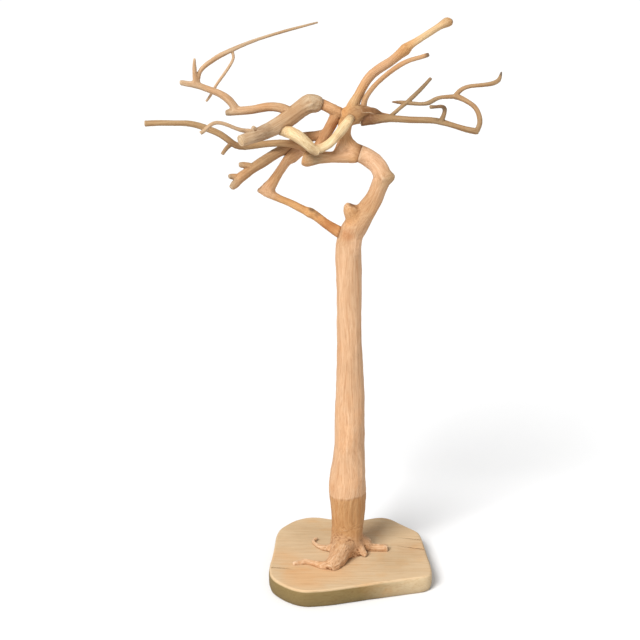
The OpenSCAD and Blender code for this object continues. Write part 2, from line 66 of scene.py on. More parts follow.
# Each limb was coped to the limbs named here, so its skin runs on into them.
SEATS = {
    "trunk": ["base_slab"],
    "crown_stem": ["trunk"],
    "left_fork_limb": ["trunk"],
    "y_limb": ["crown_stem", "left_fork_limb"],
    "grey_branch": ["y_limb"],
    "front_branch": ["crown_stem", "y_limb", "grey_branch"],
    "lower_left_branch": ["y_limb", "left_fork_limb"],
    "left_long_branch": [
        "crown_stem", "y_limb", "left_fork_limb", "front_branch", "lower_left_branch",
    ],
    "right_long_branch": ["crown_stem"],
    "grey_twig": ["crown_stem", "right_long_branch", "front_branch"],
    "left_twig": ["grey_branch"],
}
TOUCH = 0.6 * MM
SEAT_DEPTH = 4 * MM

# Mesh size of each piece's skin.
GRAIN_SIZE = {
    "trunk": 2.1 * MM,
    "crown_stem": 1.5 * MM,
    "left_fork_limb": 1.4 * MM,
    "y_limb": 1.4 * MM,
    "grey_branch": 1.4 * MM,
    "front_branch": 1.3 * MM,
    "lower_left_branch": 1.3 * MM,
    "left_long_branch": 1.3 * MM,
    "right_long_branch": 1.3 * MM,
    "grey_twig": 1.2 * MM,
    "left_twig": 1.1 * MM,
}


# ---------- numbers out of nothing: seeded noise ----------

def corner_value(cell, seed):
    n = cell[:, 0] * 374761393 + cell[:, 1] * 668265263 + cell[:, 2] * 1440662683
    n = (n + seed * 974634777) & 0xFFFFFFFF
    n = ((n ^ (n >> 13)) * 1274126177) & 0xFFFFFFFF
    n = n ^ (n >> 16)
    return (n & 0xFFFF) / 32767.5 - 1.0


def noise(points, seed):
    """Smooth values from -1 to 1, one lattice cell to a unit."""
    base = np.floor(points).astype(np.int64)
    t = points - base
    t = t * t * (3 - 2 * t)
    total = np.zeros(len(points))
    for i in (0, 1):
        for j in (0, 1):
            for k in (0, 1):
                weight = (
                    (t[:, 0] if i else 1 - t[:, 0])
                    * (t[:, 1] if j else 1 - t[:, 1])
                    * (t[:, 2] if k else 1 - t[:, 2])
                )
                total += weight * corner_value(base + np.array([i, j, k]), seed)
    return total


def rough(points, seed, octaves=3):
    total = np.zeros(len(points))
    size = 1.0
    for octave in range(octaves):
        total += size * noise(points / size, seed + 17 * octave)
        size *= 0.5
    return total / 1.6


def ridged(points, seed):
    return 1 - 2 * np.abs(noise(points, seed))


# ---------- mesh tools ----------

def welded(node):
    bm = bmesh.new()
    bm.from_mesh(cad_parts[node].data)
    bmesh.ops.remove_doubles(bm, verts=bm.verts, dist=0.01 * MM)
    bm.normal_update()
    return bm


cad_tree = {}
for cad_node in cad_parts:
    shell = welded(cad_node)
    cad_tree[cad_node] = BVHTree.FromBMesh(shell)
    shell.free()


def new_object(name, mesh):
    obj = bpy.data.objects.new(name, mesh)
    bpy.context.scene.collection.objects.link(obj)
    return obj


def baked(obj):
    """The object's mesh with its modifiers worked in."""
    graph = bpy.context.evaluated_depsgraph_get()
    done = bpy.data.meshes.new_from_object(obj.evaluated_get(graph))
    obj.modifiers.clear()
    old = obj.data
    obj.data = done
    bpy.data.meshes.remove(old)
    return obj


def remeshed(obj, size):
    voxels = obj.modifiers.new("skin", "REMESH")
    voxels.mode = "VOXEL"
    voxels.voxel_size = size
    voxels.use_smooth_shade = True
    return baked(obj)


def points_of(mesh):
    flat = np.empty(len(mesh.vertices) * 3, np.float32)
    mesh.vertices.foreach_get("co", flat)
    return flat.reshape(-1, 3).astype(float)


def normals_of(mesh):
    flat = np.empty(len(mesh.vertices) * 3, np.float32)
    mesh.vertices.foreach_get("normal", flat)
    return flat.reshape(-1, 3).astype(float)


def set_points(mesh, points):
    mesh.vertices.foreach_set("co", points.astype(np.float32).ravel())
    mesh.update()


class Skin:
    """A mesh's neighbours, for averaging values over it."""

    def __init__(self, mesh):
        pairs = np.empty(len(mesh.edges) * 2, np.int32)
        mesh.edges.foreach_get("vertices", pairs)
        self.a, self.b = pairs.reshape(-1, 2).T
        self.count = len(mesh.vertices)
        links = np.bincount(self.a, minlength=self.count)
        links += np.bincount(self.b, minlength=self.count)
        self.links = np.maximum(links, 1)

    def average(self, values):
        total = np.empty_like(values)
        for k in range(values.shape[1]):
            column = values[:, k]
            total[:, k] = np.bincount(self.a, column[self.b], self.count)
            total[:, k] += np.bincount(self.b, column[self.a], self.count)
        return total / self.links[:, None]

    def spread(self, values, rounds):
        for _ in range(rounds):
            values = 0.5 * values + 0.5 * self.average(values)
        return values

    def faired(self, points, rounds):
        """Smooths without shrinking."""
        for _ in range(rounds):
            points = points + 0.50 * (self.average(points) - points)
            points = points - 0.52 * (self.average(points) - points)
        return points


def heart_of(mesh, points, normals, thickest):
    """For every point, the middle of its limb, found straight through the wood."""
    tree = BVHTree.FromPolygons(
        [Vector(p) for p in points], [tuple(f.vertices) for f in mesh.polygons]
    )
    depth = np.empty(len(points))
    for i, (p, n) in enumerate(zip(points, normals)):
        inward = -Vector(n)
        start = Vector(p) + inward * 0.3 * MM
        spot, _, _, distance = tree.ray_cast(start, inward, thickest)
        depth[i] = distance if spot is not None else thickest
    return points - normals * (depth[:, None] / 2)


def keep_in_box(points):
    low, high = np.array(cad_box[0]), np.array(cad_box[1])
    return np.clip(points, low, high)


def give(mesh, name, values):
    """Stores a value or a vector for every point."""
    kind = "FLOAT_VECTOR" if values.ndim == 2 and values.shape[1] == 3 else "FLOAT"
    layer = mesh.attributes.new(name, kind, "POINT")
    key = "vector" if kind == "FLOAT_VECTOR" else "value"
    layer.data.foreach_set(key, values.astype(np.float32).ravel())


def give_colour(mesh, name, colours):
    layer = mesh.attributes.new(name, "FLOAT_COLOR", "POINT")
    full = np.ones((len(colours), 4), np.float32)
    full[:, :3] = colours
    layer.data.foreach_set("color", full.ravel())


# ---------- colours ----------

# Surfaces are painted a little deeper than they look under the studio light.
PAINT_DEPTH = 0.82


def linear(red, green, blue):
    """A colour as seen on a screen, 0 to 255, as light."""
    seen = np.array([red, green, blue]) / 255
    light = np.where(seen <= 0.04045, seen / 12.92, ((seen + 0.055) / 1.055) ** 2.4)
    return PAINT_DEPTH * light


PEACH = linear(228, 187, 148)
PINK = linear(246, 203, 164)
TAN = linear(208, 166, 122)
AMBER = linear(218, 170, 124)
ORANGE = linear(222, 170, 112)
FOXY = linear(196, 130, 76)
STRAW = linear(248, 224, 178)
OLIVE = linear(188, 156, 114)
DEEP_OLIVE = OLIVE * 0.80
GREY = linear(214, 186, 152)
DRIFT = linear(204, 182, 150)
ASH = linear(176, 156, 126)
UMBER = linear(128, 88, 54)
SOOT = linear(70, 50, 34)
CUT = linear(232, 208, 170)
FIBROUS = linear(200, 152, 98)
SAND = linear(228, 198, 158)
RUST = linear(236, 180, 122)
RIM = linear(214, 190, 152)
RIM_DARK = linear(136, 115, 72)

# Each limb's own colour, then dabs: place in its box, reach in mm, colour, strength.
PAINT = {
    "trunk": (PEACH, [
        ((0.49, 0.54, 0.80), 34, TAN, 0.50),
        ((0.44, 0.51, 0.81), 13, ASH, 0.70),
        ((0.63, 0.49, 0.78), 22, PINK, 0.50),
        ((0.71, 0.65, 0.86), 55, TAN, 0.85),
        ((0.94, 0.61, 0.93), 36, OLIVE, 0.85),
        ((0.80, 0.59, 0.96), 38, PINK, 0.90),
        ((0.67, 0.66, 0.99), 14, UMBER, 0.80),
        ((0.57, 0.55, 0.85), 26, ORANGE, 0.60),
        ((0.59, 0.55, 0.87), 11, UMBER, 0.85),
        ((0.53, 0.49, 0.80), 16, FOXY, 0.50),
    ]),
    "crown_stem": (ORANGE, [
        ((0.03, 0.13, 0.06), 20, TAN, 0.80),
        ((0.10, 0.08, 0.06), 24, ASH, 0.75),
        ((0.22, 0.17, 0.09), 34, PEACH, 0.70),
        ((0.31, 0.22, 0.11), 26, PINK, 0.60),
        ((0.39, 0.27, 0.10), 20, UMBER, 0.80),
        ((0.30, 0.23, 0.23), 30, TAN, 0.70),
        ((0.37, 0.25, 0.35), 26, OLIVE, 0.60),
        ((0.45, 0.25, 0.38), 40, UMBER, 0.75),
        ((0.51, 0.25, 0.37), 18, SOOT, 0.50),
        ((0.35, 0.39, 0.44), 26, STRAW, 0.35),
        ((0.47, 0.57, 0.62), 60, AMBER, 0.70), ((0.52, 0.62, 0.68), 50, PEACH, 0.60),
        ((0.68, 0.76, 0.78), 18, ORANGE, 0.80),
        ((0.84, 0.84, 0.90), 50, STRAW, 0.60),
        ((0.96, 0.90, 0.96), 16, OLIVE, 0.80),
        ((1.00, 0.90, 0.98), 8, SOOT, 0.90),
    ]),
    "left_fork_limb": (ORANGE, [
        ((0.87, 0.20, 0.12), 34, FOXY, 0.60),
        ((0.66, 0.24, 0.29), 9, SOOT, 0.70),
        ((0.72, 0.20, 0.24), 8, UMBER, 0.60),
        ((0.09, 0.48, 0.47), 36, PEACH, 0.90),
        ((0.33, 0.65, 0.74), 40, PEACH, 0.60),
        ((0.54, 0.80, 0.91), 32, PINK, 0.80),
        ((0.43, 0.69, 0.77), 8, UMBER, 0.70),
    ]),
    "y_limb": (AMBER, [
        ((0.85, 0.12, 0.55), 14, FOXY, 0.60),
        ((0.29, 0.66, 0.32), 45, TAN, 0.70),
        ((0.89, 0.17, 0.80), 18, OLIVE, 0.50),
    ]),
    "grey_branch": (GREY, [
        ((0.91, 0.52, 0.33), 26, DRIFT, 0.80),
        ((0.78, 0.41, 0.23), 34, TAN, 0.45),
        ((0.58, 0.20, 0.08), 26, UMBER, 0.45),
        ((0.44, 0.04, 0.05), 13, CUT, 0.90),
        ((0.70, 0.50, 0.30), 60, TAN, 0.70),
        ((0.51, 0.52, 0.27), 45, AMBER, 0.50),
        ((0.32, 0.55, 0.25), 15, ASH, 0.90),
        ((0.30, 0.57, 0.39), 40, AMBER, 0.50),
        ((0.03, 0.61, 0.50), 20, GREY, 0.80),
        ((0.11, 0.61, 0.59), 30, AMBER, 0.40),
        ((0.24, 0.69, 0.68), 60, TAN, 0.50),
        ((0.89, 0.95, 0.96), 110, OLIVE, 0.70),
        ((0.97, 0.98, 0.99), 30, UMBER, 0.40),
    ]),
    "front_branch": (STRAW, [
        ((0.10, 0.57, 0.61), 22, UMBER, 0.50), ((0.30, 0.50, 0.36), 14, AMBER, 0.80),
        ((0.46, 0.50, 0.14), 18, OLIVE, 0.50), ((0.78, 0.60, 0.45), 12, AMBER, 0.50),
        ((0.53, 0.49, 0.08), 20, TAN, 0.40),
        ((0.97, 0.94, 0.93), 14, UMBER, 0.70),
    ]),
    "right_long_branch": (DEEP_OLIVE, [
        ((0.05, 0.67, 0.21), 44, UMBER, 0.90),
        ((0.24, 0.52, 0.27), 40, OLIVE, 0.50),
        ((0.58, 0.15, 0.46), 11, SOOT, 0.70),
        ((0.53, 0.07, 0.45), 12, UMBER, 0.70),
        ((1.00, 0.40, 0.99), 9, SOOT, 0.90),
        ((0.77, 0.36, 0.54), 60, TAN, 0.40),
        ((0.52, 0.97, 0.88), 8, UMBER, 0.70),
        ((0.23, 0.81, 0.49), 22, UMBER, 0.60),
    ]),
    "grey_twig": (TAN, [
        ((0.99, 0.06, 0.97), 8, SOOT, 0.80),
        ((0.55, 0.36, 0.76), 40, AMBER, 0.40),
    ]),
    "left_long_branch": (OLIVE, [
        ((0.94, 0.28, 0.21), 50, AMBER, 0.60),
        ((0.52, 0.43, 0.32), 26, UMBER, 0.45),
        ((0.26, 0.66, 0.91), 60, OLIVE, 0.40),
        ((0.00, 0.85, 0.89), 4, CUT, 0.90),
    ]),
    "left_twig": (GREY, [
        ((0.04, 0.16, 0.16), 10, DRIFT, 0.80),
    ]),
    "lower_left_branch": (TAN, [
        ((0.49, 0.48, 0.56), 50, OLIVE, 0.50),
        ((0.05, 0.07, 0.15), 16, ASH, 0.80),
        ((0.01, 0.07, 0.30), 10, ASH, 0.70),
        ((0.17, 0.25, 0.54), 11, ASH, 0.70),
    ]),
}
# How far painted shade browns each limb's underside.
UNDERSIDE_SHADE = {
    "trunk": 0.1, "crown_stem": 0.2, "left_fork_limb": 0.2, "y_limb": 0.25, "grey_branch": 0.4,
    "front_branch": 0.4, "right_long_branch": 0.3, "grey_twig": 0.2, "left_long_branch": 0.3,
    "left_twig": 0.2, "lower_left_branch": 0.25,
}


def place_in(node, shares):
    low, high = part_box(node)
    return np.array([low[k] + shares[k] * (high[k] - low[k]) for k in range(3)])


def painted(node, points, normals):
    base, dabs = PAINT[node]
    colours = np.tile(base, (len(points), 1))
    wander = 6 * MM * np.stack([rough(points * 60, s, 2) for s in (3, 5, 7)], axis=1)
    for shares, reach, colour, strength in dabs:
        away = np.linalg.norm(points + wander - place_in(node, shares), axis=1)
        share = strength * np.clip(1.5 - away / (reach * MM), 0, 1)[:, None]
        colours = colours * (1 - share) + colour * share
    if node == "trunk":
        share = 0.85 * np.clip((fibre_edge(points) - points[:, 2]) / (9 * MM), 0, 1)[:, None]
        colours = colours * (1 - share) + FIBROUS * share
        low = np.clip((0.13 - points[:, 2] + 0.02 * rough(points * 30, 91, 2)) / 0.04, 0, 1)[:, None]
        colours = colours * (1 - 0.7 * low) + PEACH * 0.7 * low
    # Painted shade: skin that faces down is browned towards umber.
    underside_shade = UNDERSIDE_SHADE[node] * np.clip(-normals[:, 2] - 0.1, 0, 1)[:, None]
    return colours * (1 - underside_shade) + UMBER * underside_shade


# ---------- limbs ----------

def limb_mesh(node):
    bm = welded(node)
    parents = [cad_tree[name] for name in SEATS[node]]
    for vert in bm.verts:
        push = Vector()
        for tree in parents:
            spot, normal, _, _ = tree.find_nearest(vert.co, TOUCH)
            if spot is not None:
                push -= normal
        if push.length > 0.1:
            vert.co += push.normalized() * SEAT_DEPTH
    mesh = bpy.data.meshes.new(node + "_wood")
    bm.to_mesh(mesh)
    bm.free()
    return mesh


def grooves(points, offset, seed):
    """How far the weathered skin stands in or out, in metres."""
    radius = np.linalg.norm(offset, axis=1)
    scale = np.clip(radius / (20 * MM), 0.2, 1.2)
    flute = noise(offset * 60 + points * 4, seed)
    fibre = rough(offset * 190 + points * 8, seed + 1, 2)
    lumps = rough(points * 34, seed + 2, 2)
    return MM * scale * (0.8 * flute + 0.35 * fibre + 1.0 * lumps)


# Places weathered rougher than the rest: place in the limb's box, reach in mm, height in mm.
GNARLED = {
    "trunk": [((0.55, 0.50, 0.80), 40, 1.2), ((0.58, 0.55, 0.86), 22, 1.0)],
    "crown_stem": [
        ((0.45, 0.30, 0.37), 48, 3.4), ((0.08, 0.3, 0.06), 32, 2.2), ((0.38, 0.4, 0.10), 26, 1.6),
        ((0.96, 0.90, 0.96), 16, 1.6),
    ],
    "grey_branch": [
        ((0.91, 0.5, 0.33), 26, 3.2), ((0.58, 0.2, 0.08), 45, 1.4), ((0.03, 0.6, 0.5), 20, 1.2),
    ],
    "left_fork_limb": [((0.66, 0.24, 0.29), 22, 1.6), ((0.1, 0.48, 0.47), 30, 1.2)],
    "right_long_branch": [((0.05, 0.67, 0.21), 48, 3.0), ((0.56, 0.12, 0.46), 18, 1.4)],
    "front_branch": [
        ((0.5, 0.4, 0.1), 34, 2.0), ((0.15, 0.5, 0.7), 34, 1.6), ((0.85, 0.7, 0.6), 34, 1.4),
    ],
    "lower_left_branch": [((0.08, 0.15, 0.3), 34, 1.6)],
    "left_twig": [((0.05, 0.2, 0.2), 14, 1.2)],
    "y_limb": [((0.85, 0.3, 0.8), 24, 1.4)],
}


def gnarls(node, points, offset, seed):
    """Ridges and chips at the rougher places, in metres."""
    out = np.zeros(len(points))
    for shares, reach, height in GNARLED.get(node, []):
        away = np.linalg.norm(points - place_in(node, shares), axis=1)
        share = np.clip(1.4 - away / (reach * MM), 0, 1)
        ridges = ridged(offset * 75 + points * 14, seed + 5)
        chips = 0.9 * ridges + 0.7 * rough(points * 48, seed + 6, 2) - 0.3
        out += share * height * MM * chips
    return out


SEAM_SHADE_REACH = 8 * MM


def seam_shade_of(node, points):
    """The share of painted shade where another limb meets this one: 1 there, falling to 0 at the seam's
    reach.
    """
    near = np.full(len(points), 1.0)
    for other in list(SEATS) + ["base_slab"]:
        if other == node:
            continue
        low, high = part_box(other)
        low, high = np.array(low) - SEAM_SHADE_REACH, np.array(high) + SEAM_SHADE_REACH
        inside = np.all((points > low) & (points < high), axis=1)
        tree = cad_tree[other]
        for i in np.flatnonzero(inside):
            spot, _, _, distance = tree.find_nearest(Vector(points[i]), SEAM_SHADE_REACH)
            if spot is not None:
                near[i] = min(near[i], distance / SEAM_SHADE_REACH)
    return (1 - near) ** 2


# Places where the wood grew together: place in the limb's box, reach in mm, rounds of smoothing.
GROWN = {
    "trunk": [
        ((0.55, 0.36, 0.07), 60, 50), ((0.50, 0.18, 0.03), 40, 30), ((0.60, 0.55, 0.86), 34, 60),
        ((0.57, 0.52, 0.80), 50, 60), ((0.98, 0.60, 0.93), 26, 40), ((0.72, 0.5, 0.04), 30, 20),
    ],
    "crown_stem": [
        ((0.42, 0.3, 0.40), 60, 40), ((0.28, 0.3, 0.12), 50, 60), ((0.62, 0.7, 0.75), 20, 20),
    ],
    "left_fork_limb": [((0.08, 0.48, 0.46), 60, 90), ((0.6, 0.4, 0.3), 20, 20)],
    "y_limb": [((0.5, 0.5, 0.7), 50, 50)],
    "grey_branch": [((0.45, 0.5, 0.3), 60, 40), ((0.1, 0.6, 0.5), 40, 30)],
    "right_long_branch": [((0.2, 0.6, 0.3), 50, 40), ((0.55, 0.2, 0.45), 24, 30)],
}


def grown_together(node, skin, points):
    for shares, reach, rounds in GROWN.get(node, []):
        away = np.linalg.norm(points - place_in(node, shares), axis=1)
        share = np.clip(1.5 - away / (reach * MM), 0, 1)[:, None]
        points = points + share * (skin.spread(points, rounds) - points)
    return points


FAIRING_ROUNDS = 40
HEART_ROUNDS = 30
# Taken as the thickness where no far side of the limb is found within it.
THICKEST = 0.12
# The depth at which a fine and a wide crease count in full in the painted crease shade.
FINE_CREASE = 0.45 * MM
WIDE_CREASE = 2.4 * MM


def wood_limb(node, seed):
    mesh = limb_mesh(node)
    obj = remeshed(new_object(node + "_wood", mesh), GRAIN_SIZE[node])
    mesh = obj.data
    skin = Skin(mesh)
    points = grown_together(node, skin, skin.faired(points_of(mesh), FAIRING_ROUNDS))
    set_points(mesh, points)
    normals = normals_of(mesh)
    heart = heart_of(mesh, points, normals, THICKEST)
    heart = skin.spread(heart, HEART_ROUNDS)
    offset = points - heart
    out = grooves(points, offset, seed) + gnarls(node, points, offset, seed)
    if node == "trunk":
        out += trunk_relief(points, offset)
    points = keep_in_box(points + normals * out[:, None])
    set_points(mesh, points)
    normals = normals_of(mesh)
    soft = skin.spread(points, 6)
    fine = np.einsum("ij,ij->i", soft - points, normals) / FINE_CREASE
    soft = skin.spread(soft, 40)
    wide = np.einsum("ij,ij->i", soft - points, normals) / WIDE_CREASE
    give(mesh, "offset", offset)
    # Painted shade in creases, where the value is above 0; below 0 it marks ridges, painted paler as
    # sandblast wear.
    give(mesh, "crease_shade_and_ridge_wear", np.clip(0.6 * fine + 0.7 * np.clip(wide, 0, 1), -1, 1))
    # Painted shade where another piece meets this one.
    give(mesh, "seam_shade", seam_shade_of(node, points))
    # The tint carries the painted underside shade as well as the wood's own colours.
    give_colour(mesh, "tint", painted(node, points, normals))
    mesh.shade_smooth()
    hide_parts(node)
    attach(obj, "root")
    return obj


# The height to which the foot's outer skin is torn away.
FIBROUS_TOP = 0.238
# Roots are knuckled near the slab, and below this height wherever they leave the stem.
ROOT_RISE = 0.04
ROOT_TOP = 0.15
STEM_FOOT = 0.055
# Wrinkles under the fork: how far below its limb, and how far they reach.
NECK_DROP = 0.02
NECK_REACH = 0.06
# The middle of the stub knob's hollow, in shares of the trunk's box.
KNOB_HOLLOW = (0.59, 0.56, 0.872)


def fibre_edge(points):
    wave = rough(points * np.array([34, 34, 0]), 71, 2)
    return FIBROUS_TOP + 5 * MM * wave + 0.10 * points[:, 0]


def trunk_relief(points, offset):
    """Torn fibres below, the skin's edge above them, wrinkles at the fork and knuckled roots."""
    height = points[:, 2]
    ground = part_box("base_slab")[1].z
    torn = np.clip((fibre_edge(points) - height) / (5 * MM), 0, 1)
    root = np.clip(1.2 - (height - ground) / ROOT_RISE, 0, 1)
    beyond = np.clip((np.hypot(points[:, 0], points[:, 1]) - STEM_FOOT) / (10 * MM), 0, 1)
    root = np.maximum(root, beyond * (height < ROOT_TOP))
    fibres = rough(offset * 150 + points * 6, 73, 2)
    out = torn * (1 - root) * MM * (-0.9 + 0.9 * fibres)
    out += root * 2.2 * MM * (rough(points * 60, 79, 3) + 0.4 * ridged(offset * 130 + points * 22, 81))
    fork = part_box("left_fork_limb")[0].z
    neck = np.clip(1 - np.abs(height - fork + NECK_DROP) / NECK_REACH, 0, 1)
    wrinkles = rough(points * np.array([18, 18, 85]), 83, 2)
    out += neck * 0.9 * MM * wrinkles
    knob = np.linalg.norm(points - place_in("trunk", KNOB_HOLLOW), axis=1)
    out -= 3 * MM * np.clip(1 - knob / (11 * MM), 0, 1)
    return out


# ---------- materials ----------

def node_tree(name):
    material = bpy.data.materials.new(name)
    material.use_nodes = True
    tree = material.node_tree
    tree.nodes.clear()
    shader = tree.nodes.new("ShaderNodeBsdfPrincipled")
    output = tree.nodes.new("ShaderNodeOutputMaterial")
    tree.links.new(shader.outputs["BSDF"], output.inputs["Surface"])
    return material, tree, shader


def link(tree, source, target):
    tree.links.new(source, target)


def attribute(tree, name):
    found = tree.nodes.new("ShaderNodeAttribute")
    found.attribute_name = name
    return found


def scaled(tree, source, amount):
    times = tree.nodes.new("ShaderNodeVectorMath")
    times.operation = "MULTIPLY"
    link(tree, source, times.inputs[0])
    times.inputs[1].default_value = amount
    return times.outputs["Vector"]


def summed(tree, first, second):
    plus = tree.nodes.new("ShaderNodeVectorMath")
    plus.operation = "ADD"
    link(tree, first, plus.inputs[0])
    link(tree, second, plus.inputs[1])
    return plus.outputs["Vector"]


def cloud(tree, vector, detail=3.0, roughness=0.55):
    texture = tree.nodes.new("ShaderNodeTexNoise")
    texture.inputs["Scale"].default_value = 1.0
    texture.inputs["Detail"].default_value = detail
    texture.inputs["Roughness"].default_value = roughness
    link(tree, vector, texture.inputs["Vector"])
    return texture.outputs["Fac"]


def stretched(tree, value, low, high, to_low=0.0, to_high=1.0):
    span = tree.nodes.new("ShaderNodeMapRange")
    link(tree, value, span.inputs["Value"])
    span.inputs["From Min"].default_value = low
    span.inputs["From Max"].default_value = high
    span.inputs["To Min"].default_value = to_low
    span.inputs["To Max"].default_value = to_high
    return span.outputs["Result"]


def mixed(tree, share, first, second, mode="MIX"):
    mix = tree.nodes.new("ShaderNodeMix")
    mix.data_type = "RGBA"
    mix.blend_type = mode
    mix.clamp_factor = True
    link(tree, share, mix.inputs["Factor"])
    for socket, given in ((mix.inputs[6], first), (mix.inputs[7], second)):
        if isinstance(given, bpy.types.NodeSocket):
            link(tree, given, socket)
        else:
            socket.default_value = (*given, 1)
    return mix.outputs[2]


def bumped(tree, shader, height, distance, strength=1.0):
    bump = tree.nodes.new("ShaderNodeBump")
    bump.inputs["Distance"].default_value = distance
    bump.inputs["Strength"].default_value = strength
    link(tree, height, bump.inputs["Height"])
    link(tree, bump.outputs["Normal"], shader.inputs["Normal"])


def wood_material(name, seed):
    """Sandblasted wood: its streaks hang on the offset from the heart, so they run along the limb."""
    material, tree, shader = node_tree(name)
    place = tree.nodes.new("ShaderNodeTexCoord").outputs["Object"]
    offset = attribute(tree, "offset").outputs["Vector"]
    tint = attribute(tree, "tint").outputs["Color"]
    crease_shade_and_ridge_wear = attribute(tree, "crease_shade_and_ridge_wear").outputs["Fac"]
    seam_shade = attribute(tree, "seam_shade").outputs["Fac"]

    def streaks(wide, long, detail):
        shift = tree.nodes.new("ShaderNodeVectorMath")
        shift.operation = "ADD"
        shift.inputs[1].default_value = (seed, 2 * seed, 3 * seed)
        link(tree, scaled(tree, place, (long, long, long)), shift.inputs[0])
        wide_vector = scaled(tree, offset, (wide, wide, wide))
        return cloud(tree, summed(tree, wide_vector, shift.outputs["Vector"]), detail)

    broad = streaks(90, 5, 3)
    fine = streaks(420, 16, 4)
    pores = streaks(900, 60, 2)
    patches = cloud(tree, scaled(tree, place, (16, 16, 12)), 4, 0.6)

    def worn(share, tone):
        return mixed(tree, share, colour, tone, "MULTIPLY")

    colour = tint
    colour = worn(stretched(tree, broad, 0.35, 0.7, 0, 0.6), (0.80, 0.69, 0.58))
    colour = worn(stretched(tree, fine, 0.40, 0.66, 0, 0.7), (0.72, 0.58, 0.45))
    colour = worn(stretched(tree, pores, 0.58, 0.72, 0, 0.5), (0.55, 0.42, 0.32))
    colour = worn(stretched(tree, patches, 0.50, 0.70, 0, 0.5), (1.0, 0.84, 0.66))
    colour = worn(stretched(tree, patches, 0.48, 0.30, 0, 0.4), (0.84, 0.85, 0.84))
    # Painted shade: creases darkened towards brown. Further down, ridges are painted paler as sandblast
    # wear.
    colour = worn(stretched(tree, crease_shade_and_ridge_wear, 0.05, 0.8, 0, 0.9), (0.42, 0.30, 0.20))
    # Painted shade where another piece meets this one.
    colour = worn(stretched(tree, seam_shade, 0.1, 1.0, 0, 0.65), (0.40, 0.28, 0.18))
    colour = mixed(tree, stretched(tree, crease_shade_and_ridge_wear, -0.15, -0.9, 0, 0.3), colour, (0.86, 0.70, 0.50))
    link(tree, colour, shader.inputs["Base Color"])
    shader.inputs["Roughness"].default_value = 0.68
    shader.inputs["Specular IOR Level"].default_value = 0.3
    height = tree.nodes.new("ShaderNodeMath")
    height.operation = "MULTIPLY_ADD"
    link(tree, fine, height.inputs[0])
    height.inputs[1].default_value = 0.7
    link(tree, pores, height.inputs[2])
    bumped(tree, shader, height.outputs[0], 0.6 * MM, 0.7)
    return material


def steel_material():
    material, tree, shader = node_tree("zinc_steel")
    place = tree.nodes.new("ShaderNodeTexCoord").outputs["Object"]
    spangle = cloud(tree, scaled(tree, place, (220, 220, 220)), 3)
    colour = mixed(tree, stretched(tree, spangle, 0.35, 0.65), (0.46, 0.47, 0.50), (0.62, 0.63, 0.65))
    link(tree, colour, shader.inputs["Base Color"])
    shader.inputs["Metallic"].default_value = 1.0
    link(tree, stretched(tree, spangle, 0.3, 0.7, 0.28, 0.45), shader.inputs["Roughness"])
    turned = cloud(tree, scaled(tree, place, (120, 120, 1600)), 2)
    bumped(tree, shader, turned, 0.05 * MM, 0.5)
    return material


def dowel_material(name, pale, dark):
    material, tree, shader = node_tree(name)
    place = tree.nodes.new("ShaderNodeTexCoord").outputs["Object"]
    grain = cloud(tree, scaled(tree, place, (300, 900, 900)), 3)
    colour = mixed(tree, stretched(tree, grain, 0.35, 0.65), tuple(pale), tuple(dark))
    link(tree, colour, shader.inputs["Base Color"])
    shader.inputs["Roughness"].default_value = 0.7
    bumped(tree, shader, grain, 0.1 * MM, 0.5)
    return material


def slab_material():
    """The slab's grain lies left to right on top; its worn edge is darker and olive."""
    material, tree, shader = node_tree("slab_wood")
    place = tree.nodes.new("ShaderNodeTexCoord").outputs["Object"]
    tint = attribute(tree, "tint").outputs["Color"]
    crease_shade_and_ridge_wear = attribute(tree, "crease_shade_and_ridge_wear").outputs["Fac"]
    bend = cloud(tree, scaled(tree, place, (5, 5, 5)), 2)
    bent = tree.nodes.new("ShaderNodeVectorMath")
    bent.operation = "MULTIPLY_ADD"
    link(tree, bend, bent.inputs[0])
    bent.inputs[1].default_value = (0.0, 1.4, 1.4)
    link(tree, scaled(tree, place, (4, 90, 90)), bent.inputs[2])
    broad = cloud(tree, bent.outputs["Vector"], 3)
    fine = cloud(tree, scaled(tree, bent.outputs["Vector"], (3, 4, 4)), 4)
    patches = cloud(tree, scaled(tree, place, (9, 14, 14)), 4, 0.6)
    colour = mixed(tree, stretched(tree, broad, 0.38, 0.70, 0, 0.35), tint, (0.84, 0.74, 0.62), "MULTIPLY")
    colour = mixed(tree, stretched(tree, fine, 0.5, 0.7, 0, 0.5), colour, (0.74, 0.60, 0.46), "MULTIPLY")
    colour = mixed(tree, stretched(tree, patches, 0.55, 0.75, 0, 0.6), colour, (1.0, 0.80, 0.58), "MULTIPLY")
    # Painted shade in the cracks.
    colour = mixed(tree, stretched(tree, crease_shade_and_ridge_wear, 0.1, 0.8, 0, 0.9), colour, (0.36, 0.26, 0.16), "MULTIPLY")
    link(tree, colour, shader.inputs["Base Color"])
    shader.inputs["Roughness"].default_value = 0.72
    shader.inputs["Specular IOR Level"].default_value = 0.25
    bumped(tree, shader, fine, 0.8 * MM, 0.7)
    return material


# ---------- the slab ----------

# Points round the slab, rings up its edge and rings across each face.
SIDES = 400
LEVELS = 16
ACROSS = 70
# How far in the top and the underside stop short of the edge.
TOP_ARRIS = 1.2 * MM
UNDER_ARRIS = 3 * MM


def cast(tree, start, way):
    spot, _, _, distance = tree.ray_cast(Vector(start), Vector(way))
    return spot, distance


def slab_outline(tree, thick):
    """The slab's edge at each level, as distances from the bolt, its corners worn round."""
    angles = np.arange(SIDES) * 2 * math.pi / SIDES
    reach = np.empty((LEVELS, SIDES))
    for k in range(LEVELS):
        z = thick * (0.02 + 0.96 * k / (LEVELS - 1))
        for i, angle in enumerate(angles):
            way = Vector((math.cos(angle), math.sin(angle), 0))
            spot, _ = cast(tree, way * 0.5 + Vector((0, 0, z)), -way)
            reach[k, i] = math.hypot(spot.x, spot.y)
    for _ in range(22):
        reach = 0.5 * reach + 0.25 * (np.roll(reach, 1, 1) + np.roll(reach, -1, 1))
    return angles, reach


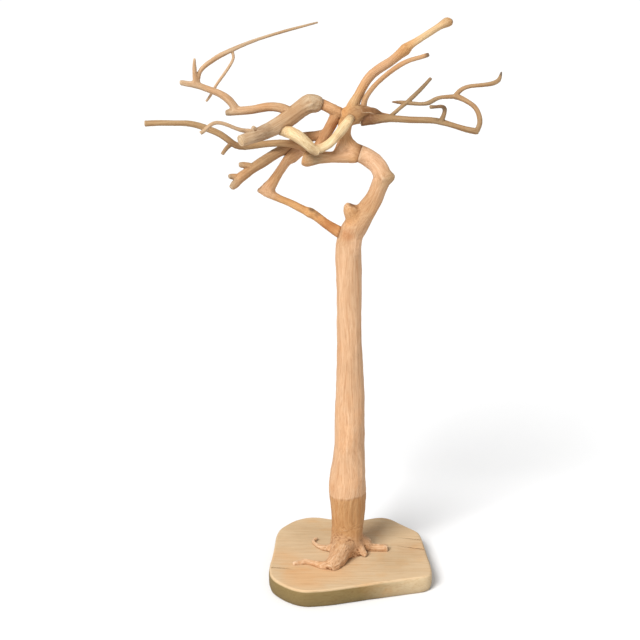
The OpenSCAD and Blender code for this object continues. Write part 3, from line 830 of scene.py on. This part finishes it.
def slab_shell(tree, thick):
    """The slab turned out ring by ring: top, worn edge, underside, bolt pocket and bolt hole."""
    angles, reach = slab_outline(tree, thick)
    pocket = cast(tree, (0, 0, 2 * MM), (1, 0, 0))[1]
    bore = cast(tree, (0, 0, 0.7 * thick), (1, 0, 0))[1]
    roof = cast(tree, (0.5 * (bore + pocket), 0, 0.1 * MM), (0, 0, 1))[0].z
    around = np.stack([np.cos(angles), np.sin(angles)], axis=1)
    rings = []

    def ring(radii, z):
        rings.append(np.column_stack([around * np.reshape(radii, (-1, 1)), np.full(SIDES, z)]))

    full = np.ones(SIDES)
    inward = np.linspace(0, 1, ACROSS)
    for share in inward:
        ring(bore + (reach[-1] - TOP_ARRIS - bore) * share, thick)
    for k in reversed(range(LEVELS)):
        z = thick * k / (LEVELS - 1)
        z = min(max(z, 0.8 * MM), thick - 1.0 * MM)
        spots = np.column_stack([around * reach[k][:, None] * 22, np.full(SIDES, z * 30)])
        wander = rough(spots, 35, 3)
        ring(reach[k] - MM * (1.6 + 1.4 * wander) * min(1, (thick - z) / (6 * MM)), z)
    for share in reversed(inward[1:]):
        ring(pocket + (reach[0] - UNDER_ARRIS - pocket) * share, 0)
    ring(pocket * full, 0)
    ring(pocket * full, roof)
    ring(bore * full, roof)
    count = len(rings)
    faces = []
    for k in range(count):
        a, b = k * SIDES, (k + 1) % count * SIDES
        for i in range(SIDES):
            j = (i + 1) % SIDES
            faces.append((a + i, b + i, b + j, a + j))
    mesh = bpy.data.meshes.new("base_slab_wood")
    mesh.from_pydata(np.concatenate(rings).tolist(), [], faces)
    return mesh


def screw_holes_cut(obj):
    """Cuts the slab open under the two anti-turn screws."""
    bm = welded("base_screws")
    for vert in bm.verts:
        vert.co += vert.normal * 0.2 * MM
        if vert.co.z < 0.6 * MM:
            vert.co.z = -2 * MM
    mesh = bpy.data.meshes.new("screw_holes")
    bm.to_mesh(mesh)
    bm.free()
    cutter = new_object("screw_holes", mesh)
    cut = obj.modifiers.new("holes", "BOOLEAN")
    cut.operation = "DIFFERENCE"
    cut.solver = "MANIFOLD"
    cut.object = cutter
    baked(obj)
    bpy.data.objects.remove(cutter)
    bpy.data.meshes.remove(mesh)


# Stains on the slab: place in its box, reach in mm, colour, strength.
STAINS = [
    ((0.22, 0.16), 62, RUST, 0.55), ((0.40, 0.26), 60, RUST, 0.40), ((0.12, 0.42), 50, RUST, 0.35),
    ((0.75, 0.40), 70, OLIVE, 0.30), ((0.30, 0.75), 80, OLIVE, 0.30), ((0.55, 0.85), 60, TAN, 0.40),
    ((0.90, 0.55), 50, TAN, 0.35),
]
# Cracks from the slab's edge: where they start and end in its box, and their depth in mm.
CRACKS = [
    ((0.00, 0.30), (0.16, 0.27), 1.6), ((1.00, 0.52), (0.80, 0.58), 1.6),
    ((0.97, 0.66), (0.80, 0.70), 1.2),
    ((0.60, 0.97), (0.52, 0.80), 1.2), ((0.86, 0.10), (0.70, 0.14), 0.9),
]


def crack_depth(points):
    """How deep the cracks go at each point, in metres."""
    low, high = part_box("base_slab")
    low, size = np.array([low.x, low.y]), np.array([high.x - low.x, high.y - low.y])
    deep = np.zeros(len(points))
    flat = points[:, :2] + 2.5 * MM * np.stack([noise(points * 70, s) for s in (51, 53)], axis=1)
    for start, end, depth in CRACKS:
        a, b = low + np.array(start) * size, low + np.array(end) * size
        along = np.clip(((flat - a) @ (b - a)) / ((b - a) @ (b - a)), 0, 1)
        away = np.linalg.norm(flat - (a + along[:, None] * (b - a)), axis=1)
        deep = np.maximum(deep, depth * (1 - along) ** 0.5 * np.clip(1.5 - away / (1.5 * MM), 0, 1))
    return deep * MM


def slab_piece():
    node = "base_slab"
    low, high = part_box(node)
    thick = high.z
    obj = new_object("base_slab_wood", slab_shell(cad_tree[node], thick))
    screw_holes_cut(obj)
    mesh = obj.data
    points = points_of(mesh)
    top = np.clip((points[:, 2] - (thick - 0.5 * MM)) / (0.4 * MM), 0, 1)
    grain = ridged(points * np.array([5, 75, 75]), 31)
    saw = noise(points * np.array([12, 160, 160]), 33)
    sag = top * (MM * (0.35 - 0.3 * grain - 0.15 * saw) + crack_depth(points))
    points[:, 2] -= sag
    set_points(mesh, keep_in_box(points))
    points = points_of(mesh)
    normals = normals_of(mesh)
    facing = normals[:, 2]
    side = np.where(facing > 0, 1.6 - 3 * facing, 6 * (1 + facing))
    side = np.clip(side, 0, 1)[:, None]
    colours = np.tile(SAND, (len(points), 1))
    share_x = (points[:, 0] - low.x) / (high.x - low.x)
    share_y = (points[:, 1] - low.y) / (high.y - low.y)
    blur = 0.10 * rough(points * 18, 61, 3)
    for place, reach, colour, strength in STAINS:
        away = np.hypot(share_x - place[0] + blur, share_y - place[1]) * (high.x - low.x)
        share = strength * np.clip(1.4 - away / (reach * MM), 0, 1)[:, None]
        colours = colours * (1 - share) + colour * share
    bright = np.clip((share_x - 0.55) / 0.3 + blur, 0, 1)[:, None]
    level = np.clip(points[:, 2] / thick + 2.2 * blur, 0, 1)[:, None]
    rim = RIM_DARK * (1 - bright) + RIM * bright
    rim = rim * (0.80 + 0.30 * level)
    colours = colours * (1 - side) + rim * side
    # Painted shade in the cracks: the deeper the crack, the darker, on the top only.
    give(mesh, "crease_shade_and_ridge_wear", np.clip(crack_depth(points) / MM * top, 0, 1))
    give_colour(mesh, "tint", colours)
    mesh.shade_smooth()
    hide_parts(node)
    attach(obj, "root")
    return obj


# ---------- building ----------

limbs = {}
for number, name in enumerate(SEATS):
    limbs[name] = wood_limb(name, 100 + 10 * number)
    limbs[name].data.materials.clear()
    limbs[name].data.materials.append(wood_material(name + "_wood", 3.1 * number))

slab = slab_piece()
slab.data.materials.clear()
slab.data.materials.append(slab_material())

steel = steel_material()
beech = dowel_material("beech", linear(226, 196, 150), linear(206, 170, 120))
putty = dowel_material("filler", linear(166, 148, 120), linear(140, 120, 94))
FINISH = {
    "fork_dowels": beech,
    "limb_dowels": beech,
    "twig_pins": beech,
    "filler_plugs": putty,
    "graft_screws": steel,
    "lag_bolt": steel,
    "bolt_washer": steel,
    "base_screws": steel,
}
for name, material in FINISH.items():
    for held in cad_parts[name].material_slots:
        held.material = material

# ---------- floor, light and camera ----------

floor_mesh = bpy.data.meshes.new("floor")
floor_mesh.from_pydata(
    [(-200, -200, 0), (200, -200, 0), (200, 200, 0), (-200, 200, 0)], [], [(0, 1, 2, 3)]
)
floor = new_object("floor", floor_mesh)
paper, _, paper_shader = node_tree("paper")
paper_shader.inputs["Base Color"].default_value = (0.88, 0.88, 0.88, 1)
paper_shader.inputs["Roughness"].default_value = 1.0
paper_shader.inputs["Specular IOR Level"].default_value = 0.0
floor_mesh.materials.append(paper)

world = bpy.data.worlds.new("studio")
bpy.context.scene.world = world
world.use_nodes = True
sky = world.node_tree
direction = sky.nodes.new("ShaderNodeTexCoord").outputs["Generated"]
height = sky.nodes.new("ShaderNodeSeparateXYZ")
link(sky, direction, height.inputs[0])
sky.nodes["Background"].inputs["Color"].default_value = (1, 1, 1, 1)
strength = stretched(sky, height.outputs["Z"], 0.06, 0.4, 1.05, 0.42)
link(sky, strength, sky.nodes["Background"].inputs["Strength"])

sun_light = bpy.data.lights.new("window", "SUN")
sun_light.energy = 3.5
sun_light.angle = math.radians(26)
sun = new_object("window", sun_light)
sun.rotation_euler = Vector((0.48, 0.70, -0.80)).to_track_quat("-Z", "Y").to_euler()

lens = bpy.data.cameras.new("camera")
lens.sensor_width = 36
lens.lens = 59.1
lens.clip_end = 400
camera = new_object("camera", lens)
camera.location = (-0.077, -2.75, 1.5)
camera.rotation_euler = (math.radians(90 - 15.4), 0, 0)
bpy.context.scene.camera = camera
bpy.context.scene.view_settings.view_transform = "Standard"
